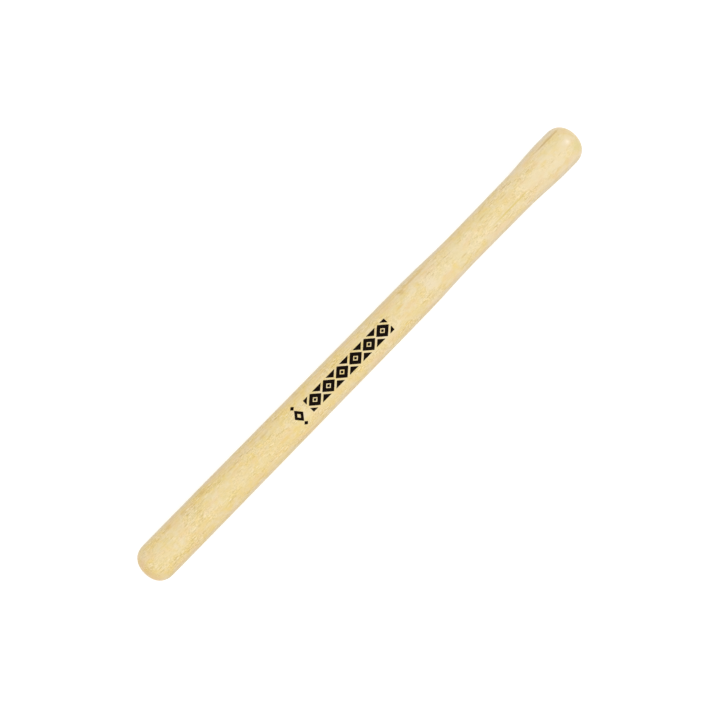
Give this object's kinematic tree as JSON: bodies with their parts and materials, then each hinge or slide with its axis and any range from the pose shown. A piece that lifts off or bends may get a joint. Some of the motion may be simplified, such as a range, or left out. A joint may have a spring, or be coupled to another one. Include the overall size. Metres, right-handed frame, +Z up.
{
  "type": "drumstick",
  "caption": "One-piece turned wooden drumstick with a stout domed striking end, a slim waisted grip and a flared domed butt, for striking cowbells and hand drums.",
  "frame": {"origin": "on the ground under the middle of the stick's length, as it lies on its side", "axes": "+X along the stick's axis towards the striking tip, +Z up from the surface that it lies on, +Y completes the right-handed frame"},
  "size_m": [0.3, 0.0206, 0.0206],
  "materials": {
    "wood": "pale straw hardwood under a thin clear satin lacquer"
  },
  "bodies": {
    "root": {"stick": "wood"}
  },
  "joints": []
}
